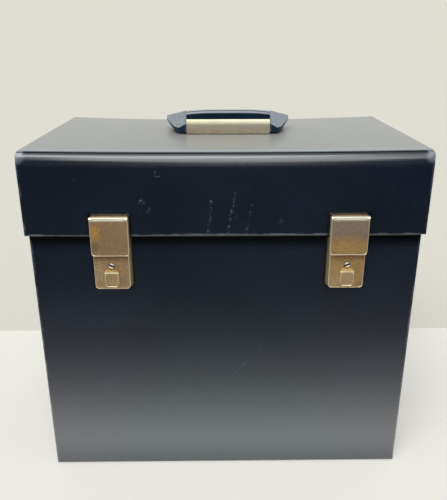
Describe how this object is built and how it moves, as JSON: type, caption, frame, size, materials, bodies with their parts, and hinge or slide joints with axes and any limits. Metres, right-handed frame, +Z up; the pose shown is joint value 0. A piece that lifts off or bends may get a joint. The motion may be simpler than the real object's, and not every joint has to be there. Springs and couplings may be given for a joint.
{
  "type": "record case",
  "caption": "Tall covered board case for long-playing records with an overhanging hinged lid, a folding carrying handle and key latches.",
  "frame": {"origin": "centre of the box's footprint, on the surface that the case stands on", "axes": "+X to the right seen from the latches, +Y to the back, towards the lid's hinges, +Z up"},
  "size_m": [0.359, 0.1979, 0.3572],
  "materials": {
    "leathercloth": "navy vinyl leathercloth with a very fine grain, satin",
    "board": "plain thin plywood",
    "card": "dark grey lining card",
    "lining": "grey lining paper",
    "latch_metal": "worn nickelled brass, satin with tarnish",
    "fixing_metal": "plain bright steel",
    "trim_metal": "satin champagne anodised",
    "handle_plastic": "glossy dark blue moulded plastic"
  },
  "bodies": {
    "case": {"base_board": "board", "front_board": "board", "back_board": "board", "left_board": "board", "right_board": "board", "box_covering": "leathercloth", "base_sheet": "leathercloth", "base_pad": "card", "liner_front": "card", "liner_back": "card", "liner_left": "card", "liner_right": "card", "hinge_box_leaf_left": "latch_metal", "hinge_box_leaf_right": "latch_metal", "hinge_pin_left": "fixing_metal", "hinge_pin_right": "fixing_metal", "hinge_box_rivets": "latch_metal", "lock_back_left": "fixing_metal", "lock_back_right": "fixing_metal", "lock_case_left": "latch_metal", "lock_case_right": "latch_metal", "lock_rivets": "fixing_metal", "lock_spring_left": "fixing_metal", "lock_spring_right": "fixing_metal"},
    "lid": {"lid_top_board": "board", "lid_front_board": "board", "lid_back_board": "board", "lid_left_board": "board", "lid_right_board": "board", "lid_covering": "leathercloth", "lid_lining": "lining", "hinge_lid_leaf_left": "latch_metal", "hinge_lid_leaf_right": "latch_metal", "hinge_lid_rivets": "latch_metal", "handle_bracket_left": "fixing_metal", "handle_bracket_right": "fixing_metal", "handle_pin_left": "fixing_metal", "handle_pin_right": "fixing_metal", "handle_rivets": "fixing_metal", "handle_backing_plate": "fixing_metal", "hasp_plate_left": "latch_metal", "hasp_plate_right": "latch_metal", "hasp_rivets": "fixing_metal"},
    "handle": {"handle_grip": "handle_plastic", "handle_trim": "trim_metal"},
    "flap_left": {"hasp_flap_left": "latch_metal", "hasp_pin_left": "fixing_metal", "hasp_catch_left": "fixing_metal"},
    "flap_right": {"hasp_flap_right": "latch_metal", "hasp_pin_right": "fixing_metal", "hasp_catch_right": "fixing_metal"},
    "button_left": {"lock_button_left": "latch_metal", "lock_slide_left": "fixing_metal"},
    "button_right": {"lock_button_right": "latch_metal", "lock_slide_right": "fixing_metal"},
    "plug_left": {"key_plug_left": "latch_metal"},
    "plug_right": {"key_plug_right": "latch_metal"}
  },
  "joints": [
    {"name": "lid_hinge", "type": "hinge", "parent": "case", "child": "lid", "pos_m": [0, 0.094, 0.25715], "axis": [-1, 0, 0], "range_deg": [0, 175]},
    {"name": "handle_swing", "type": "hinge", "parent": "lid", "child": "handle", "pos_m": [0.0032, 0.011, 0.3425], "axis": [-1, 0, 0], "range_deg": [0, 150]},
    {"name": "flap_left_hinge", "type": "hinge", "parent": "lid", "child": "flap_left", "pos_m": [-0.1028, -0.0982, 0.2742], "axis": [-1, 0, 0], "range_deg": [0, 115]},
    {"name": "button_left_slide", "type": "slide", "parent": "case", "child": "button_left", "axis": [0, 0, -1], "range_m": [0, 0.0022], "stiffness_N_per_m": 600, "springref_m": -0.002, "deforming": ["lock_spring_left"]},
    {"name": "key_left_turn", "type": "hinge", "parent": "case", "child": "plug_left", "pos_m": [-0.1028, -0.099, 0.2307], "axis": [0, 1, 0], "range_deg": [0, 90]},
    {"name": "flap_right_hinge", "type": "hinge", "parent": "lid", "child": "flap_right", "pos_m": [0.1092, -0.0982, 0.2742], "axis": [-1, 0, 0], "range_deg": [0, 115]},
    {"name": "button_right_slide", "type": "slide", "parent": "case", "child": "button_right", "axis": [0, 0, -1], "range_m": [0, 0.0022], "stiffness_N_per_m": 600, "springref_m": -0.002, "deforming": ["lock_spring_right"]},
    {"name": "key_right_turn", "type": "hinge", "parent": "case", "child": "plug_right", "pos_m": [0.1092, -0.099, 0.2307], "axis": [0, 1, 0], "range_deg": [0, 90]}
  ]
}
